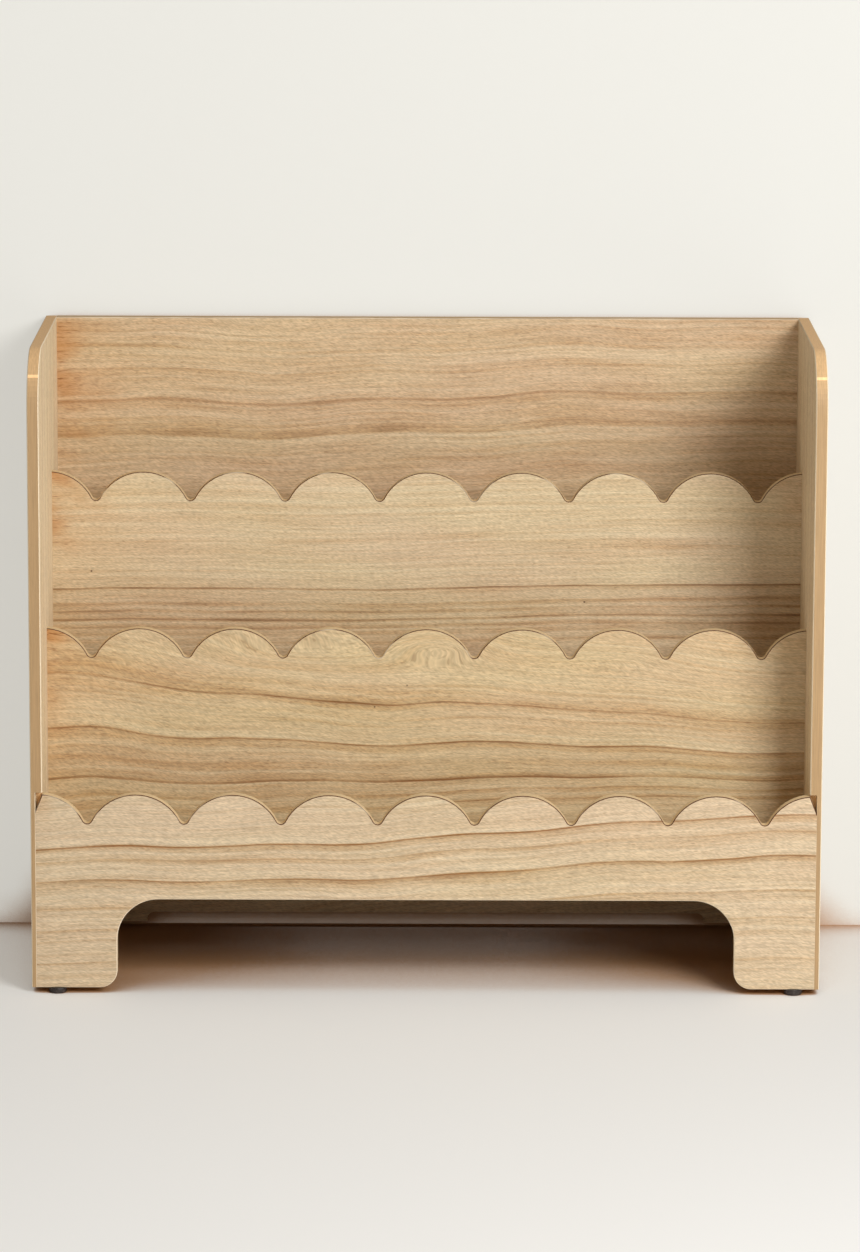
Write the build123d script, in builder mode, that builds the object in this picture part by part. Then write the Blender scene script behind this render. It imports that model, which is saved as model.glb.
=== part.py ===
from build123d import *
import os

# A children's bookshelf: three stepped pockets behind scalloped panels, between two side
# boards. Lengths are in millimetres. The origin is on the ground, at the middle of the
# footprint. +X is to the viewer's right, the front faces -Y and +Z is up.

# Overall sizes
WIDTH = 800
HEIGHT = 655
BOARD = 12
POCKET_COUNT = 3
POCKET_DEPTH = 84
GLIDE_HEIGHT = 6

# Sides
TOP_CORNER_RADIUS = 60
SIDE_LIP = 5
REBATE_TOP_GAP = 1.5
ARRIS = 0.8

# Heights of the scallops' crests above the ground, and of each crest above its pocket's floor
FRONT_CREST_HEIGHT = 206.5
MIDDLE_CREST_HEIGHT = 359.5
UPPER_CREST_HEIGHT = 506.5
POCKET_HEIGHT = 96.5

# Scalloped edges: lobes parted by cusps that are rounded as the cutter leaves them
SCALLOP_COUNT = 8
SCALLOP_HEIGHT = 30
SCALLOP_RUNOUT = 3.5
CUSP_RADIUS = 5
EAR_CLIP_HEIGHT = 18

# Feet of the front and back panels
FRONT_FOOT_WIDTH = 82
ARCH_RADIUS = 42
FRONT_FOOT_RADIUS = 18
REAR_FOOT_WIDTH = 91
RELIEF_HEIGHT = 10.5
RELIEF_RADIUS = 8

# Glued joints: housings in the sides for the ends of the floors and pocket panels, and
# grooves in the upright boards for the floors' edges
HOUSING_DEPTH = 4
GROOVE_DEPTH = 3
GROOVE_LIP = 10
FIT_CLEARANCE = 0.1
END_CLEARANCE = 0.2

# Dowels, three in a row: in the back panel's ends and in the lower floor's front edge
DOWEL_RADIUS = 3
DOWEL_LENGTH = 28
DOWELS_IN_ROW = 3
DOWEL_SKIN = 3.5
HOLE_CLEARANCE = 0.1
HOLE_END_CLEARANCE = 0.5
BACK_DOWEL_INSET = 45
FLOOR_DOWEL_INSET = 60

# Nail-on glides: the lower end of each nail is moulded into its glide
GLIDE_RADIUS = 9
GLIDE_INSET = 26
NAIL_RADIUS = 1.4
NAIL_LENGTH = 15
NAIL_SEAT_DEPTH = 4

# Planes that several pieces share. The uprights are the three panels and the back panel.
DEPTH = POCKET_COUNT * (POCKET_DEPTH + BOARD) + BOARD
FRONT = -DEPTH / 2
BACK = DEPTH / 2
INNER = WIDTH / 2 - BOARD
HOUSED_HALF = INNER + HOUSING_DEPTH - END_CLEARANCE
REBATED_HALF = WIDTH / 2 - SIDE_LIP
UPRIGHT_FRONTS = [FRONT + tier * (POCKET_DEPTH + BOARD) for tier in range(POCKET_COUNT + 1)]
BACK_FRONT = UPRIGHT_FRONTS[-1]
CRESTS = [FRONT_CREST_HEIGHT, MIDDLE_CREST_HEIGHT, UPPER_CREST_HEIGHT]
FLOOR_TOPS = [crest - POCKET_HEIGHT for crest in CRESTS]
FLOOR_UNDERSIDES = [top - BOARD for top in FLOOR_TOPS]
PANEL_NAMES = ["front_panel", "middle_panel", "upper_panel"]
FLOOR_NAMES = ["lower_floor", "middle_floor", "upper_floor"]
HOUSED_PANEL_TIERS = range(1, POCKET_COUNT)

# The lower floor butts against the front panel, and every other floor edge lies in a groove
GROOVE_REACH = GROOVE_DEPTH - END_CLEARANCE
FLOOR_FRONTS = [FRONT + BOARD]
FLOOR_FRONTS += [front + BOARD - GROOVE_REACH for front in UPRIGHT_FRONTS[1:POCKET_COUNT]]
FLOOR_REARS = [front + GROOVE_REACH for front in UPRIGHT_FRONTS[1:]]

# Seats of the dowels and nails
DOWEL_SEAT = BOARD - DOWEL_SKIN - HOLE_END_CLEARANCE
DOWEL_HOLE_RADIUS = DOWEL_RADIUS + HOLE_CLEARANCE
DOWEL_FACE_DEPTH = BOARD - DOWEL_SKIN
DOWEL_EDGE_DEPTH = DOWEL_LENGTH - DOWEL_SEAT + HOLE_END_CLEARANCE
NAIL_HOLE_RADIUS = NAIL_RADIUS + HOLE_CLEARANCE
NAIL_HOLE_DEPTH = NAIL_LENGTH - NAIL_SEAT_DEPTH + HOLE_END_CLEARANCE
GLIDE_X = WIDTH / 2 - GLIDE_INSET


def row_of_dowels(low, high, inset):
    """Evenly spaced places of a row of dowels, from low + inset to high - inset."""
    step = (high - low - 2 * inset) / (DOWELS_IN_ROW - 1)
    return [low + inset + step * index for index in range(DOWELS_IN_ROW)]


def back_dowel_planes(hand):
    """Planes at the dowels in the back panel's left (-1) or right (1) end, facing the side."""
    y = BACK - BOARD / 2
    heights = row_of_dowels(GLIDE_HEIGHT, HEIGHT, BACK_DOWEL_INSET)
    return [Plane(origin=(hand * INNER, y, z), z_dir=(hand, 0, 0)) for z in heights]


def floor_dowel_planes():
    """Planes at the dowels in the lower floor's front edge, facing the front panel."""
    z = FLOOR_TOPS[0] - BOARD / 2
    places = row_of_dowels(-INNER, INNER, FLOOR_DOWEL_INSET)
    return [Plane(origin=(x, FLOOR_FRONTS[0], z), z_dir=(0, -1, 0)) for x in places]


def foot_planes(board_front, z):
    """Planes at height z under the two feet of an upright board."""
    return [Plane(origin=(x, board_front + BOARD / 2, z)) for x in (-GLIDE_X, GLIDE_X)]


def rectangle_between(low, high):
    """A rectangle between two opposite corners, in the sketch that is being drawn."""
    with Locations(low):
        Rectangle(high[0] - low[0], high[1] - low[1], align=(Align.MIN, Align.MIN))


def scalloped_outline(bottom, crest, half_width):
    """A board's face from bottom up to a row of scallops, cut off square at its ends.

    Lobes and cusps are arcs that run into each other without a corner. The end lobes have
    their crests just beyond the sides' inner faces.
    """
    pitch = 2 * (INNER + SCALLOP_RUNOUT) / SCALLOP_COUNT
    both_radii = ((pitch / 2) ** 2 + SCALLOP_HEIGHT**2) / (2 * SCALLOP_HEIGHT)
    lobe_share = 1 - CUSP_RADIUS / both_radii
    join_across = lobe_share * pitch / 2
    join_height = crest - lobe_share * SCALLOP_HEIGHT
    end_crest = SCALLOP_COUNT * pitch / 2
    with BuildSketch() as outline:
        with BuildLine():
            for lobe in range(SCALLOP_COUNT + 1):
                middle = lobe * pitch - end_crest
                left_join = (middle - join_across, join_height)
                right_join = (middle + join_across, join_height)
                ThreePointArc(left_join, (middle, crest), right_join)
                if lobe < SCALLOP_COUNT:
                    cusp = (middle + pitch / 2, crest - SCALLOP_HEIGHT)
                    next_join = (middle + pitch - join_across, join_height)
                    ThreePointArc(right_join, cusp, next_join)
            Polyline(
                (-end_crest - join_across, join_height),
                (-end_crest - join_across, bottom),
                (end_crest + join_across, bottom),
                (end_crest + join_across, join_height),
            )
        make_face()
        with Locations((0, bottom)):
            Rectangle(
                2 * half_width,
                crest - bottom,
                align=(Align.CENTER, Align.MIN),
                mode=Mode.INTERSECT,
            )
    return outline.sketch


def foot_opening(half_width, top, corner_radius):
    """The opening between a board's two feet, rounded at its upper corners."""
    with BuildSketch() as opening:
        rectangle_between((-half_width, GLIDE_HEIGHT), (half_width, top))
        fillet(opening.vertices().group_by(Axis.Y)[-1], radius=corner_radius)
    return opening.sketch


def front_rims(board, low, high, half_width):
    """The level and curved edges of an upright board's front face, within a band of height."""
    rims = board.edges().filter_by(Axis.Y, reverse=True).group_by(Axis.Y)[0]
    in_band = rims.filter_by(Axis.Z, reverse=True).filter_by(lambda rim: low < rim.center().Z < high)
    return in_band.filter_by(lambda rim: abs(rim.center().X) < half_width)


def groove_for_floor(tier, low_y, high_y):
    """Cut the groove for a floor's edge, along the whole upright board that is being built."""
    with BuildSketch(Plane.YZ) as profile:
        rectangle_between(
            (low_y, FLOOR_UNDERSIDES[tier]),
            (high_y, FLOOR_TOPS[tier] + FIT_CLEARANCE),
        )
    extrude(profile.sketch, amount=WIDTH / 2, both=True, mode=Mode.SUBTRACT)


def drill_dowels(planes, depth):
    """Dowel holes in the board that is being built."""
    with Locations(*planes):
        Hole(DOWEL_HOLE_RADIUS, depth=depth)


def drill_foot_nails(board_front):
    """Nail holes in the two feet of the upright board that is being built."""
    with Locations(*foot_planes(board_front, GLIDE_HEIGHT)):
        Hole(NAIL_HOLE_RADIUS, depth=NAIL_HOLE_DEPTH)


# Sides: rounded at the upper front corner, rebated for the front panel, and housed inside for
# the pocket panels and the floors
with BuildPart() as side_left:
    with BuildSketch(Plane.YZ.offset(-WIDTH / 2)):
        with BuildLine():
            round_start = (FRONT, HEIGHT - TOP_CORNER_RADIUS)
            round_end = (FRONT + TOP_CORNER_RADIUS, HEIGHT)
            RadiusArc(round_start, round_end, TOP_CORNER_RADIUS)
            Polyline(
                round_end,
                (BACK, HEIGHT),
                (BACK, GLIDE_HEIGHT),
                (FRONT, GLIDE_HEIGHT),
                round_start,
            )
        make_face()
    extrude(amount=BOARD)
    rims = side_left.edges().filter_by(Axis.X, reverse=True)
    upper_rims = rims.filter_by(lambda rim: rim.center().Z > GLIDE_HEIGHT + ARRIS)
    chamfer(upper_rims.filter_by(lambda rim: rim.center().Y < BACK_FRONT), length=ARRIS)
    with BuildSketch(Plane.YZ.offset(-INNER)):
        rectangle_between(
            (FRONT, GLIDE_HEIGHT),
            (FRONT + BOARD, FRONT_CREST_HEIGHT + REBATE_TOP_GAP),
        )
    extrude(amount=SIDE_LIP - BOARD, mode=Mode.SUBTRACT)
    with BuildSketch(Plane.YZ.offset(-INNER)):
        for tier in HOUSED_PANEL_TIERS:
            rectangle_between(
                (UPRIGHT_FRONTS[tier], FLOOR_UNDERSIDES[tier - 1] - GROOVE_LIP),
                (UPRIGHT_FRONTS[tier] + BOARD + FIT_CLEARANCE, CRESTS[tier] + FIT_CLEARANCE),
            )
        for tier in range(POCKET_COUNT):
            rectangle_between(
                (FLOOR_FRONTS[tier], FLOOR_UNDERSIDES[tier]),
                (FLOOR_REARS[tier] + END_CLEARANCE, FLOOR_TOPS[tier] + FIT_CLEARANCE),
            )
    extrude(amount=-HOUSING_DEPTH, mode=Mode.SUBTRACT)
    drill_dowels(back_dowel_planes(-1), DOWEL_FACE_DEPTH)

with BuildPart() as side_right:
    mirror(side_left.part, about=Plane.YZ)

# Front panel: scallops above, an arch between two rounded feet below, and its upper outer
# corners clipped where it passes from the sides' inner faces into their rebates
with BuildPart() as front_panel:
    arch_half = REBATED_HALF - FRONT_FOOT_WIDTH
    with BuildSketch(Plane.XZ.offset(-FRONT)) as front_face:
        add(scalloped_outline(GLIDE_HEIGHT, FRONT_CREST_HEIGHT, REBATED_HALF))
        for hand in (-1, 1):
            Polygon(
                (hand * INNER, FRONT_CREST_HEIGHT),
                (hand * REBATED_HALF, FRONT_CREST_HEIGHT),
                (hand * REBATED_HALF, FRONT_CREST_HEIGHT - EAR_CLIP_HEIGHT),
                align=None,
                mode=Mode.SUBTRACT,
            )
        add(foot_opening(arch_half, FLOOR_UNDERSIDES[0], ARCH_RADIUS), mode=Mode.SUBTRACT)
        foot_corners = front_face.vertices().group_by(Axis.Y)[0].sort_by(Axis.X)[1:3]
        fillet(foot_corners, radius=FRONT_FOOT_RADIUS)
    extrude(amount=-BOARD)
    scallop_rims = front_rims(
        front_panel, FRONT_CREST_HEIGHT - SCALLOP_HEIGHT - ARRIS, HEIGHT, WIDTH
    )
    arch_rims = front_rims(
        front_panel,
        GLIDE_HEIGHT + ARRIS,
        FLOOR_UNDERSIDES[0] + ARRIS,
        arch_half + FRONT_FOOT_RADIUS,
    )
    chamfer(scallop_rims + arch_rims, length=ARRIS)
    drill_dowels(floor_dowel_planes(), DOWEL_FACE_DEPTH)
    drill_foot_nails(FRONT)

boards = {"side_left": side_left, "side_right": side_right, PANEL_NAMES[0]: front_panel}

# Middle and upper panels: scalloped boards housed in the sides, each with a groove in front
# for the floor before it and one behind for its own pocket's floor
for tier in HOUSED_PANEL_TIERS:
    panel_front = UPRIGHT_FRONTS[tier]
    panel_rear = panel_front + BOARD
    panel_bottom = FLOOR_UNDERSIDES[tier - 1] - GROOVE_LIP
    with BuildPart() as pocket_panel:
        with BuildSketch(Plane.XZ.offset(-panel_front)):
            add(scalloped_outline(panel_bottom, CRESTS[tier], HOUSED_HALF))
        extrude(amount=-BOARD)
        scallop_rims = front_rims(pocket_panel, CRESTS[tier] - SCALLOP_HEIGHT - ARRIS, HEIGHT, WIDTH)
        chamfer(scallop_rims, length=ARRIS)
        groove_for_floor(tier - 1, panel_front, panel_front + GROOVE_DEPTH)
        groove_for_floor(tier, panel_rear - GROOVE_DEPTH, panel_rear)
    boards[PANEL_NAMES[tier]] = pocket_panel

# Back panel: its top edge is level with the sides, and a shallow relief parts its feet
with BuildPart() as back_panel:
    with BuildSketch(Plane.XZ.offset(-BACK_FRONT)):
        rectangle_between((-INNER, GLIDE_HEIGHT), (INNER, HEIGHT))
        add(
            foot_opening(INNER - REAR_FOOT_WIDTH, GLIDE_HEIGHT + RELIEF_HEIGHT, RELIEF_RADIUS),
            mode=Mode.SUBTRACT,
        )
    extrude(amount=-BOARD)
    chamfer(front_rims(back_panel, HEIGHT - ARRIS, HEIGHT + ARRIS, WIDTH), length=ARRIS)
    groove_for_floor(POCKET_COUNT - 1, BACK_FRONT, BACK_FRONT + GROOVE_DEPTH)
    drill_dowels(back_dowel_planes(-1) + back_dowel_planes(1), DOWEL_EDGE_DEPTH)
    drill_foot_nails(BACK_FRONT)
boards["back_panel"] = back_panel

# Floors of the pockets
for tier in range(POCKET_COUNT):
    with BuildPart() as pocket_floor:
        with BuildSketch(Plane.XY.offset(FLOOR_UNDERSIDES[tier])):
            rectangle_between((-HOUSED_HALF, FLOOR_FRONTS[tier]), (HOUSED_HALF, FLOOR_REARS[tier]))
        extrude(amount=BOARD)
        if tier == 0:
            drill_dowels(floor_dowel_planes(), DOWEL_EDGE_DEPTH)
    boards[FLOOR_NAMES[tier]] = pocket_floor

# A dowel has its joint face at z = 0 and points down into the board whose edge it enters
with BuildPart() as dowel:
    with Locations((0, 0, DOWEL_SEAT)):
        Cylinder(DOWEL_RADIUS, DOWEL_LENGTH, align=(Align.CENTER, Align.CENTER, Align.MAX))

# A glide and its nail stand on the ground at z = 0
with BuildPart() as glide:
    Cylinder(GLIDE_RADIUS, GLIDE_HEIGHT, align=(Align.CENTER, Align.CENTER, Align.MIN))
    with Locations((0, 0, GLIDE_HEIGHT)):
        Hole(NAIL_HOLE_RADIUS, depth=NAIL_SEAT_DEPTH)

with BuildPart() as glide_nail:
    with Locations((0, 0, GLIDE_HEIGHT - NAIL_SEAT_DEPTH)):
        Cylinder(NAIL_RADIUS, NAIL_LENGTH, align=(Align.CENTER, Align.CENTER, Align.MIN))

# Every set of like fittings, at its places
front_feet = foot_planes(FRONT, 0)
rear_feet = foot_planes(BACK_FRONT, 0)
fitting_sets = {
    "dowels": (dowel, back_dowel_planes(-1) + back_dowel_planes(1) + floor_dowel_planes()),
    "glide_nails": (glide_nail, front_feet + rear_feet),
    "front_left_glide": (glide, front_feet[:1]),
    "front_right_glide": (glide, front_feet[1:]),
    "rear_left_glide": (glide, rear_feet[:1]),
    "rear_right_glide": (glide, rear_feet[1:]),
}
fittings = {}
for set_name, (piece, planes) in fitting_sets.items():
    with BuildPart() as fitting_set:
        with Locations(*planes):
            add(piece.part)
    fittings[set_name] = fitting_set

os.makedirs("parts", exist_ok=True)
for node_name, built in {**boards, **fittings}.items():
    built.part.label = node_name
    export_step(built.part, f"parts/{node_name}.step")
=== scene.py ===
"""A children's bookshelf in clear-lacquered paulownia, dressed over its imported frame.

The boards take their shape from the frame. Each is softened along its edges and gets its own
sawn-wood finish, with the growth lines that this board shows. Lengths named _mm are in
millimetres, and all other lengths are in metres.
"""
import logging
import math
from dataclasses import dataclass
from enum import Enum
from typing import Any

import bpy
from mathutils import Matrix, Vector


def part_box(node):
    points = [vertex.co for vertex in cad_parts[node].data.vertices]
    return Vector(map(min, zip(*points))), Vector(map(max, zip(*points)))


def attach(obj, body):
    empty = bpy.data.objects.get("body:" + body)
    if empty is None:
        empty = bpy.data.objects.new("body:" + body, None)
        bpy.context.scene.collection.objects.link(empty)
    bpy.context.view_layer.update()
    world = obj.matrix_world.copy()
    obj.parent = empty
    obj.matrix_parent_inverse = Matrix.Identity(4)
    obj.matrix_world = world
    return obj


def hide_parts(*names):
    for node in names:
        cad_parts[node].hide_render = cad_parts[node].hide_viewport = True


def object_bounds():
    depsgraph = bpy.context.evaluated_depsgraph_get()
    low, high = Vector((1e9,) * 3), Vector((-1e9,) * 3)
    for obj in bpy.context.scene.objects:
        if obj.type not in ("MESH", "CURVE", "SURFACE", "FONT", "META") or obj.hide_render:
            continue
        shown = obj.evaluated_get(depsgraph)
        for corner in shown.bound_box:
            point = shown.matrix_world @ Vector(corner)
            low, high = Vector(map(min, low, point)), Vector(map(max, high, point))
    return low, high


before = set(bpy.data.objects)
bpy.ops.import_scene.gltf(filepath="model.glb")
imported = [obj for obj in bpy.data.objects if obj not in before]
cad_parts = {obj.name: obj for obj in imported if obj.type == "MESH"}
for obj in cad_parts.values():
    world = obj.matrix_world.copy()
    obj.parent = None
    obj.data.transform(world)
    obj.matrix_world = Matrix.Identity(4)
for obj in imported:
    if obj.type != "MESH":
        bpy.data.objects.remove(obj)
CAD_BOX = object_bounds()

LOG = logging.getLogger("bookshelf")
MM = 0.001
BODY = "root"
Tree = bpy.types.NodeTree
Socket = bpy.types.NodeSocket
Colour = tuple[float, float, float, float]
Triple = tuple[float, float, float]
Stops = list[tuple[float, Colour]]
# Nearly all values of a noise lie in this range.
NOISE_SPREAD = {"From Min": 0.3, "From Max": 0.7}
SMOOTH = {"interpolation_type": "SMOOTHSTEP"}
COLOUR_MIX = {"data_type": "RGBA", "out": 2}


def linear(hex_colour: str) -> Colour:
    """Turn an sRGB hex colour such as "#d8b98c" to linear RGBA.

    Args:
        hex_colour: six hex digits after a hash sign.

    Returns:
        Red, green, blue and an alpha of 1.
    """
    parts = [int(hex_colour[at:at + 2], 16) / 255 for at in (1, 3, 5)]
    curved = [part / 12.92 if part <= 0.04045 else ((part + 0.055) / 1.055) ** 2.4 for part in parts]
    return (curved[0], curved[1], curved[2], 1.0)


def add_node(
    tree: Tree,
    kind: str,
    inputs: dict[str | int, Any] | None = None,
    stops: Stops | None = None,
    out: str | int = 0,
    **settings: Any,
) -> Socket | None:
    """Add a node with its own settings, its inputs and, for a colour ramp, its stops.

    Args:
        tree: the node tree of a material or a world.
        kind: the shader node's type, without the prefix that all of them share.
        inputs: a value or another node's output socket, by input name or number.
        stops: positions and colours of a ramp.
        out: name or number of the output that is wanted.
        settings: the node's own properties.

    Returns:
        That output's socket, or None for the last node of a tree, which has no output.
    """
    node = tree.nodes.new(f"ShaderNode{kind}")
    for name, value in settings.items():
        setattr(node, name, value)
    for key, value in (inputs or {}).items():
        if isinstance(value, Socket):
            tree.links.new(value, node.inputs[key])
        else:
            node.inputs[key].default_value = value
    if stops:
        elements = node.color_ramp.elements
        for element, (position, colour) in zip(elements, (stops[0], stops[-1])):
            element.position = position
            element.color = colour
        for position, colour in stops[1:-1]:
            elements.new(position).color = colour
    return node.outputs[out] if node.outputs else None


def new_material(name: str) -> tuple[bpy.types.Material, Tree]:
    """Make a material with an empty node tree.

    Args:
        name: the material's plain name.

    Returns:
        The material and its node tree.
    """
    material = bpy.data.materials.new(name)
    material.use_nodes = True
    material.node_tree.nodes.clear()
    return material, material.node_tree


def select_only(piece: bpy.types.Object) -> None:
    """Deselect everything, then select one object and make it active."""
    bpy.ops.object.select_all(action="DESELECT")
    piece.select_set(True)
    bpy.context.view_layer.objects.active = piece


class Grain(Enum):
    """How a board lies in the frame: the axes along its grain, across it and through it."""

    LEVEL_UPRIGHT = ("X", "Z", "Y")
    LEVEL_FLAT = ("X", "Y", "Z")
    STANDING = ("Z", "Y", "X")


@dataclass(frozen=True)
class Layer:
    """A layer of noise in a board's wood.

    Attributes:
        sizes_mm: its grain size, along, across and through the board in most layers.
        detail: its number of finer octaves.
        shift: what makes it its own, and no copy of another layer.
    """

    sizes_mm: Triple
    detail: float
    shift: float


@dataclass(frozen=True)
class Ring:
    """A growth line on a board's face.

    Attributes:
        place_mm: where it crosses the middle of the board, measured across the grain.
        line: how dark the late wood is, from 0, the palest wood, to 1.
        above: tone of the wood just past it.
        below: tone of the wood just before it.
        fade_mm: the distance over which the wood beside it turns back to the ground tone.
    """

    place_mm: float
    line: float
    above: float
    below: float
    fade_mm: float = 12.0


@dataclass(frozen=True)
class Sway:
    """One slow wave in the growth lines, along the board.

    Attributes:
        rise_mm: how far the lines rise above their mean.
        length_mm: the wave's length.
        crest_mm: place of a crest along the grain.
    """

    rise_mm: float
    length_mm: float
    crest_mm: float


@dataclass(frozen=True)
class Whorl:
    """A place where the growth lines swing round, as they do beside a knot.

    Attributes:
        along_mm: its place along the grain.
        across_mm: its place across the grain.
        length_mm: its reach along the grain.
        width_mm: its reach across the grain.
        lift_mm: how far it lifts the lines.
    """

    along_mm: float
    across_mm: float
    length_mm: float
    width_mm: float
    lift_mm: float


@dataclass(frozen=True)
class Figure:
    """The drawing of the grain on one board.

    Attributes:
        rings: its growth lines, in rising order.
        ground: tone of the wood between them.
        slope: how far the lines rise for each mm along the grain, at the pivot.
        wander_mm: how far the lines stray from straight.
        seed: a shift that makes each board's fibres its own.
        grain: the way the board lies.
        fan: how much the slope grows for each mm across the grain.
        pivot_mm: the place across the grain where the slope holds.
        sways: slow waves in the lines.
        whorls: places where the lines swing round.
    """

    rings: tuple[Ring, ...]
    ground: float
    slope: float
    wander_mm: float
    seed: float
    grain: Grain = Grain.LEVEL_UPRIGHT
    fan: float = 0.0
    pivot_mm: float = 0.0
    sways: tuple[Sway, ...] = ()
    whorls: tuple[Whorl, ...] = ()


@dataclass(frozen=True)
class EndStain:
    """An orange tint with brown streaks that runs in from a board's end, where the sap dried.

    Attributes:
        end_mm: place of the end along the grain.
        reach_mm: how far it runs in, negative where it runs towards lower places.
        low_mm: where across the grain it is faintest.
        high_mm: where across the grain it is full.
        strength: how much of the wood it covers.
        tint: colour of its soft patches.
        streak: colour of its streaks.
    """

    end_mm: float
    reach_mm: float
    low_mm: float
    high_mm: float
    strength: float
    tint: str = "#bb8144"
    streak: str = "#7d4a1c"


@dataclass(frozen=True)
class SawnPaulownia:
    """Paulownia, sawn, sanded and sealed with a thin matt lacquer.

    A light open-grained wood: broad pale bands end in thin brown lines, short dark pores lie
    along the grain, and the lacquer leaves it nearly matt.

    Attributes:
        name: the material's name.
        figure: the drawing of the grain.
        pale: colour of the palest wood.
        tan: colour of the middle tone.
        late: colour of the darkest growth line.
        edge: colour of the board's sawn edges.
        arris: colour of the rounded edge, which the cutter scorches on the scallops.
        arris_highlight: the pale colour of the rounded edge where it isn't scorched, a painted highlight.
        scorch: how much of the arris is scorched.
        scorch_from_mm: the height from which it is scorched, and below which it keeps the painted
            highlight.
        painted_top_light: painted light, how much paler an edge is made where it faces up.
        shoulder_mm: the place across the grain of a rebate's shoulder, which is painted paler to lift the
            shade in its recess.
        shoulder_painted_light: painted light, how much paler that shoulder is than the other edges.
        stains: the stains at its ends.
        pore: colour of the pores.
        knot: colour of the pin knots.
        line_half_mm: half the width of a growth line.
        fine_ring_depth: how much tone the finest rings add or take.
        pin_knot_mm: size of a pin knot.
        pin_knot_spacing_mm: the distance from one pin knot's cell to the next.
        rings_per_ramp: how many growth lines fit on one colour ramp.

    The other fields are the layers of noise that draw the wood's fine features. Pores and
    fibres are drawn about twice as wide as real ones, which would not show from a step away.
    """

    name: str
    figure: Figure
    pale: str
    tan: str
    late: str
    edge: str
    arris: str = "#8a6239"
    arris_highlight: str = "#f2e2c6"
    scorch: float = 0.35
    scorch_from_mm: float = 0.0
    painted_top_light: float = 1.0
    shoulder_mm: float = 0.0
    shoulder_painted_light: float = 0.0
    stains: tuple[EndStain, ...] = ()
    pore: str = "#8d6a44"
    knot: str = "#4c3420"
    line_half_mm: float = 1.0
    fibres: Layer = Layer((75.0, 2.0, 3.0), 2.0, 0.0)
    hairs: Layer = Layer((9.0, 1.0, 2.0), 1.0, 21.0)
    pore_field: Layer = Layer((6.0, 0.9, 2.0), 0.0, 47.0)
    flecks: Layer = Layer((4.0, 1.1, 400.0), 0.0, 33.0)
    clouds: Layer = Layer((240.0, 55.0, 400.0), 1.0, 61.0)
    stray: Layer = Layer((170.0, 60.0, 400.0), 2.0, 3.1)
    patches: Layer = Layer((60.0, 26.0, 400.0), 1.0, 91.0)
    fine_rings: Layer = Layer((420.0, 4.5, 500.0), 2.0, 5.9)
    fading: Layer = Layer((90.0, 14.0, 500.0), 2.0, 8.7)
    edge_lines: Layer = Layer((40.0, 1.0, 6.0), 2.0, 71.0)
    scorching: Layer = Layer((30.0, 50.0, 25.0), 1.0, 83.0)
    fine_ring_depth: float = 0.16
    pin_knot_mm: float = 2.2
    pin_knot_spacing_mm: float = 48.0
    rings_per_ramp: int = 5

    def ring_stops(self, rings: tuple[Ring, ...], low_mm: float, high_mm: float) -> Stops:
        """Place some growth lines on a ramp that spans the board.

        Args:
            rings: up to five growth lines, in rising order.
            low_mm: the board's lower limit across the grain.
            high_mm: its upper limit.

        Returns:
            Ramp positions, each with its tone as a grey.
        """
        half = self.line_half_mm
        ground = self.figure.ground
        tones: list[tuple[float, float]] = [(low_mm, ground)]
        for ring in rings:
            before = ring.place_mm - half - ring.fade_mm
            if before > tones[-1][0]:
                tones.append((before, ground))
            while tones[-1][0] > ring.place_mm - half * 1.5:
                tones.pop()
            tones.append((ring.place_mm - half * 1.5, ring.below))
            tones.append((ring.place_mm, ring.line))
            tones.append((ring.place_mm + half, ring.above))
            tones.append((ring.place_mm + half + ring.fade_mm, ground))
        span = high_mm - low_mm
        return [((place - low_mm) / span, (tone, tone, tone, 1.0)) for place, tone in tones]

    def material(self, low_mm: float, high_mm: float) -> bpy.types.Material:
        """Build the finish for a board.

        Args:
            low_mm: the board's lower limit across the grain.
            high_mm: its upper limit.

        Returns:
            The material.
        """
        material, tree = new_material(self.name)
        along, across, through = self._places(tree)
        ring_place = self._ring_place(tree, along, across)
        tone = self._tone(tree, along, ring_place, low_mm, high_mm)
        fibres, pores = self._fibres(tree, along, ring_place, through)
        face = self._face_colour(tree, along, across, ring_place, tone, fibres, pores)
        colour = self._edges(tree, along, through, across, face)
        relief = add_node(tree, "Math", {0: fibres, 1: pores}, operation="SUBTRACT")
        bump = add_node(tree, "Bump", {"Strength": 0.35, "Distance": 0.15 * MM, "Height": relief})
        roughness = add_node(tree, "MapRange", {"Value": fibres, "To Min": 0.62, "To Max": 0.5})
        shader = add_node(tree, "BsdfPrincipled", {
            "Base Color": colour, "Roughness": roughness, "Normal": bump, "Specular IOR Level": 0.35,
            "IOR": 1.5,
        })
        add_node(tree, "OutputMaterial", {"Surface": shader})
        return material

    def _places(self, tree: Tree) -> tuple[Socket, Socket, Socket]:
        """Sockets of the place along, across and through the board, in millimetres."""
        here = add_node(tree, "TexCoord", out="Object")
        in_mm = add_node(tree, "VectorMath", {0: here, "Scale": 1 / MM}, operation="SCALE")
        parts = add_node(tree, "SeparateXYZ", {0: in_mm}).node.outputs
        along, across, through = self.figure.grain.value
        return parts[along], parts[across], parts[through]

    def _noise(self, tree: Tree, places: tuple[Socket, Socket, Socket], layer: Layer) -> Socket:
        """A noise stretched along the grain.

        Args:
            tree: the material's node tree.
            places: sockets of the places that the layer's sizes go with.
            layer: the layer of the wood.

        Returns:
            The noise's value socket, from 0 to 1 about a mean of 0.5.
        """
        shift = layer.shift + self.figure.seed
        spread = [
            add_node(tree, "Math", {0: place, 1: 1 / size, 2: shift}, operation="MULTIPLY_ADD")
            for place, size in zip(places, layer.sizes_mm)
        ]
        vector = add_node(tree, "CombineXYZ", {0: spread[0], 1: spread[1], 2: spread[2]})
        return add_node(tree, "TexNoise", {
            "Vector": vector, "Scale": 1.0, "Detail": layer.detail, "Roughness": 0.55,
        })

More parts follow.
